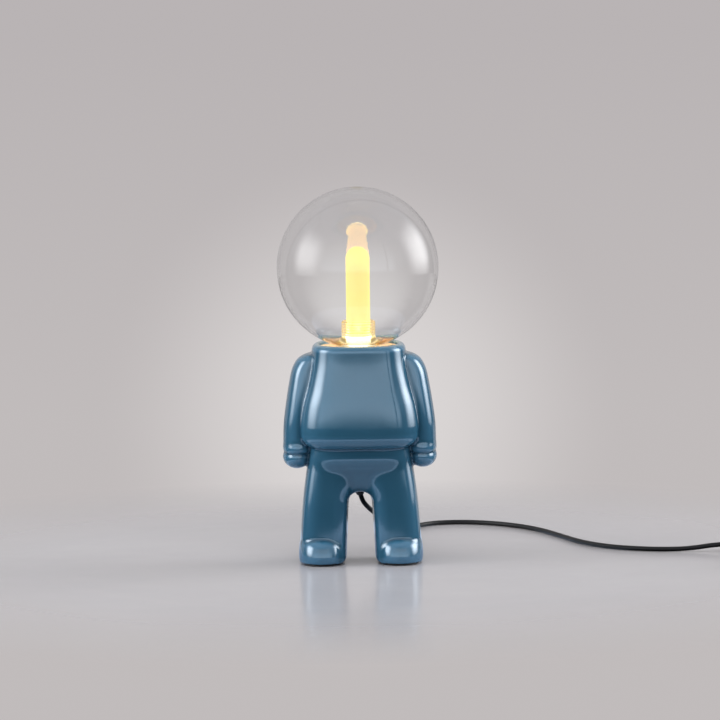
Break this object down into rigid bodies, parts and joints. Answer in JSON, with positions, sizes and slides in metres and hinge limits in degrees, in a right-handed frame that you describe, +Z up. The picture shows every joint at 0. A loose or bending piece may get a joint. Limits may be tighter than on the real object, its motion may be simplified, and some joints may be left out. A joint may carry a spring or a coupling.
{
  "type": "table lamp",
  "caption": "Small table lamp: a hollow glazed ceramic figure in a puffy suit with a clear globe for a helmet, a frosted tube lamp inside it, and a black cord with an in-line switch.",
  "frame": {"origin": "on the globe's axis at the underside of the foot pads, the centre of the lamp's footprint without its cord", "axes": "+Z up, the figure faces -Y, +X towards the side on which the cord leaves"},
  "size_m": [0.5141, 0.3407, 0.3499],
  "materials": {
    "glaze": "glossy teal-blue glaze, a little darker where it pools",
    "pad_rubber": "soft black foam rubber",
    "silicone": "translucent silicone",
    "polished_brass": "polished and lacquered",
    "zinc_steel": "bright zinc plate",
    "white_plastic": "white heat-proof plastic",
    "white_porcelain": "unglazed white porcelain",
    "contact_brass": "stamped strip",
    "brown_insulation": "brown insulation",
    "blue_insulation": "blue insulation",
    "cord_sheath": "satin black sheath",
    "black_plastic": "fine matt grain",
    "black_gloss": "polished",
    "nickel_plate": "nickel plate",
    "clear_glass": "clear blown glass with a ground foot",
    "frosted_glass": "frosted, lit warm yellow-white",
    "board_white": "white board with yellow phosphor strips"
  },
  "bodies": {
    "root": {"body_casting": "glaze", "foot_pad_left": "pad_rubber", "foot_pad_right": "pad_rubber", "plate_gasket": "silicone", "cover_plate": "polished_brass", "clamp_bar": "zinc_steel", "threaded_tube": "zinc_steel", "lock_washer": "zinc_steel", "tube_nut": "zinc_steel", "lampholder_cup": "white_plastic", "lampholder_insert": "white_porcelain", "lampholder_contacts": "contact_brass", "lampholder_screws": "zinc_steel", "shade_ring": "white_plastic", "live_wire": "brown_insulation", "neutral_wire": "blue_insulation", "terminal_block": "white_plastic", "terminal_screws": "zinc_steel", "inner_cord": "cord_sheath", "cord_gland": "black_plastic", "gland_nut": "black_plastic", "cord_lead": "cord_sheath", "switch_lower_shell": "black_plastic", "switch_upper_shell": "black_plastic", "switch_screws": "zinc_steel", "switch_contacts": "contact_brass", "cord_link": "cord_sheath", "cord_coil": "cord_sheath", "cord_tie": "black_plastic", "cord_tail": "cord_sheath", "plug_body": "black_plastic", "plug_relief": "black_plastic", "plug_pins": "nickel_plate", "plug_sleeves": "black_plastic"},
    "ring": {"cushion_ring": "silicone"},
    "globe": {"glass_globe": "clear_glass"},
    "bulb": {"bulb_tube": "frosted_glass", "bulb_base": "white_porcelain", "bulb_pins": "nickel_plate", "bulb_led_board": "board_white"},
    "rocker": {"switch_rocker": "black_gloss"}
  },
  "joints": [
    {"name": "globe_rise", "type": "slide", "parent": "root", "child": "ring", "axis": [0, 0, 1], "range_m": [0, 0.009]},
    {"name": "globe_turn", "type": "hinge", "parent": "ring", "child": "globe", "pos_m": [0, 0, 0.2], "axis": [0, 0, 1], "range_deg": [0, 1296]},
    {"name": "bulb_pull", "type": "slide", "parent": "root", "child": "bulb", "axis": [0, 0, 1], "range_m": [0, 0.02]},
    {"name": "switch_rocker", "type": "hinge", "parent": "root", "child": "rocker", "pos_m": [0.378, 0.04, 0.0105], "axis": [0, 1, 0], "range_deg": [-18, 0]}
  ],
  "couplings": [
    {"joint": "globe_rise", "follows": "globe_turn", "m_per_rad": 0.00039789}
  ]
}
